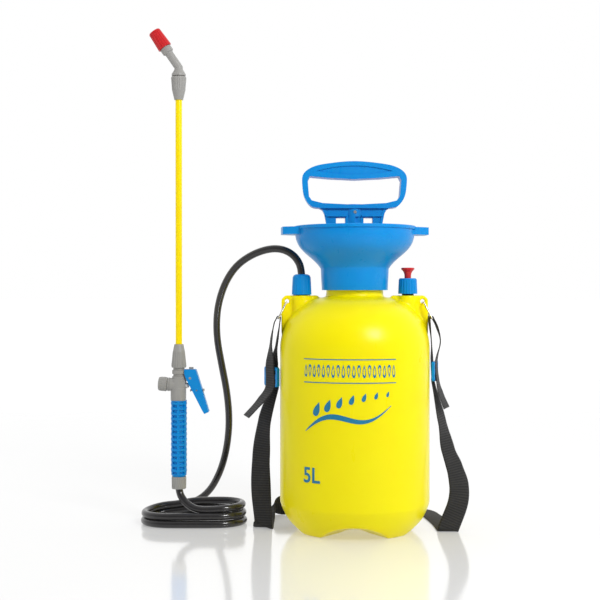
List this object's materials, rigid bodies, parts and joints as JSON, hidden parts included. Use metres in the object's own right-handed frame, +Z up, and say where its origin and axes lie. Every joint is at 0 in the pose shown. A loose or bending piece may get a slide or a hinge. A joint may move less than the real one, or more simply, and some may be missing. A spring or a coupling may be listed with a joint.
{
  "type": "pump sprayer",
  "caption": "Garden pump sprayer: round plastic tank, funnel, D-handle piston pump, relief valve, hose, trigger wand with angled nozzle and carrying strap.",
  "frame": {"origin": "centre of the four feet on the floor, under the tank's axis", "axes": "+Z up along the tank and pump, +X to the right seen from the front, -Y towards the front"},
  "size_m": [0.4001, 0.2251, 0.6088],
  "materials": {
    "yellow_shell": "satin",
    "blue_plastic": "semi-gloss",
    "grey_plastic": "satin",
    "red_plastic": "semi-gloss",
    "white_plastic": "satin",
    "yellow_tube": "semi-gloss",
    "black_rubber": "matte",
    "black_hose": "glossy",
    "black_webbing": "woven",
    "steel": "satin"
  },
  "bodies": {
    "sprayer": {"tank": "yellow_shell", "neck_gasket": "black_rubber", "funnel": "blue_plastic", "outlet_fitting": "grey_plastic", "outlet_gasket": "black_rubber", "hose_nut": "blue_plastic", "dip_tube": "white_plastic", "inlet_strainer": "white_plastic", "relief_body": "grey_plastic", "relief_gasket": "black_rubber", "relief_nut": "blue_plastic", "wand_hose_nut": "grey_plastic", "grip_tube": "grey_plastic", "grip_sleeve": "blue_plastic", "valve_body": "grey_plastic", "valve_cap": "grey_plastic", "valve_cap_oring": "black_rubber", "trigger_pin": "steel", "lance_nut": "grey_plastic", "lance_seal": "black_rubber", "lance_tube": "yellow_tube", "elbow_nut": "grey_plastic", "elbow_seal": "black_rubber", "elbow": "grey_plastic", "nozzle_core": "white_plastic", "nozzle_oring": "black_rubber", "left_hook": "steel", "right_hook": "steel", "strap_left": "black_webbing", "strap_right": "black_webbing", "strap_back": "black_webbing", "left_adjuster": "blue_plastic", "right_adjuster": "blue_plastic", "hose_run": "black_hose", "hose_tail": "black_hose", "hose_coil": "black_hose", "relief_spring": "steel", "valve_spring": "steel"},
    "pump_unit": {"pump_barrel": "white_plastic", "check_valve": "black_rubber", "pump_cap": "grey_plastic", "pump_gasket": "black_rubber", "rod_bush": "white_plastic"},
    "piston_ring": {"piston_oring": "black_rubber"},
    "pump_handle": {"pump_handle": "blue_plastic", "piston_rod": "white_plastic", "handle_pin": "steel", "piston": "white_plastic", "piston_screw": "steel"},
    "relief_knob": {"relief_knob": "red_plastic", "relief_seal": "black_rubber"},
    "trigger": {"trigger": "blue_plastic"},
    "trigger_lock": {"trigger_lock": "grey_plastic"},
    "plunger": {"plunger": "white_plastic", "plunger_seal": "black_rubber", "plunger_oring": "black_rubber"},
    "spray_disc": {"spray_disc": "white_plastic"},
    "nozzle_cap": {"nozzle_cap": "red_plastic"},
    "left_gate": {"left_gate": "steel"},
    "right_gate": {"right_gate": "steel"}
  },
  "joints": [
    {"name": "pump_lift", "type": "slide", "parent": "sprayer", "child": "pump_unit", "axis": [0, 0, 1], "range_m": [0, 0.24]},
    {"name": "pump_stroke", "type": "slide", "parent": "pump_unit", "child": "piston_ring", "axis": [0, 0, 1], "range_m": [0, 0.15]},
    {"name": "handle_turn", "type": "hinge", "parent": "piston_ring", "child": "pump_handle", "pos_m": [0, 0, 0.36], "axis": [0, 0, 1], "range_deg": [-60, 0]},
    {"name": "relief_pull", "type": "slide", "parent": "sprayer", "child": "relief_knob", "axis": [0, 0, 1], "range_m": [0, 0.004], "stiffness_N_per_m": 800, "springref_m": -0.005, "deforming": ["relief_spring"]},
    {"name": "trigger_squeeze", "type": "hinge", "parent": "sprayer", "child": "trigger", "pos_m": [-0.2002, 0.02, 0.1806], "axis": [0, 1, 0], "range_deg": [0, 16], "stiffness_Nm_per_rad": 0.25, "springref_deg": -34.38},
    {"name": "plunger_travel", "type": "slide", "parent": "sprayer", "child": "plunger", "axis": [-0.9976, 0, 0.0698], "range_m": [0, 0.0022], "deforming": ["valve_spring"]},
    {"name": "lock_swing", "type": "hinge", "parent": "trigger", "child": "trigger_lock", "pos_m": [-0.1922, 0.02, 0.1656], "axis": [0, 1, 0], "range_deg": [-35, 0]},
    {"name": "nozzle_travel", "type": "slide", "parent": "sprayer", "child": "spray_disc", "axis": [-0.565, 0, 0.8251], "range_m": [0, 0.003]},
    {"name": "nozzle_turn", "type": "hinge", "parent": "spray_disc", "child": "nozzle_cap", "pos_m": [-0.2142, 0.02, 0.5599], "axis": [-0.565, 0, 0.8251], "range_deg": [0, 540]},
    {"name": "left_gate_swing", "type": "hinge", "parent": "sprayer", "child": "left_gate", "pos_m": [-0.0897, 0.0143, 0.25864], "axis": [-0.8918, 0, 0.4524], "range_deg": [-15, 0], "stiffness_Nm_per_rad": 0.01, "springref_deg": 34.38},
    {"name": "right_gate_swing", "type": "hinge", "parent": "sprayer", "child": "right_gate", "pos_m": [0.0897, 0.0143, 0.25864], "axis": [-0.8918, 0, -0.4524], "range_deg": [-15, 0], "stiffness_Nm_per_rad": 0.01, "springref_deg": 34.38}
  ],
  "couplings": [
    {"joint": "plunger_travel", "follows": "trigger_squeeze", "m_per_rad": 0.0074},
    {"joint": "nozzle_travel", "follows": "nozzle_turn", "m_per_rad": 0.0003183}
  ]
}
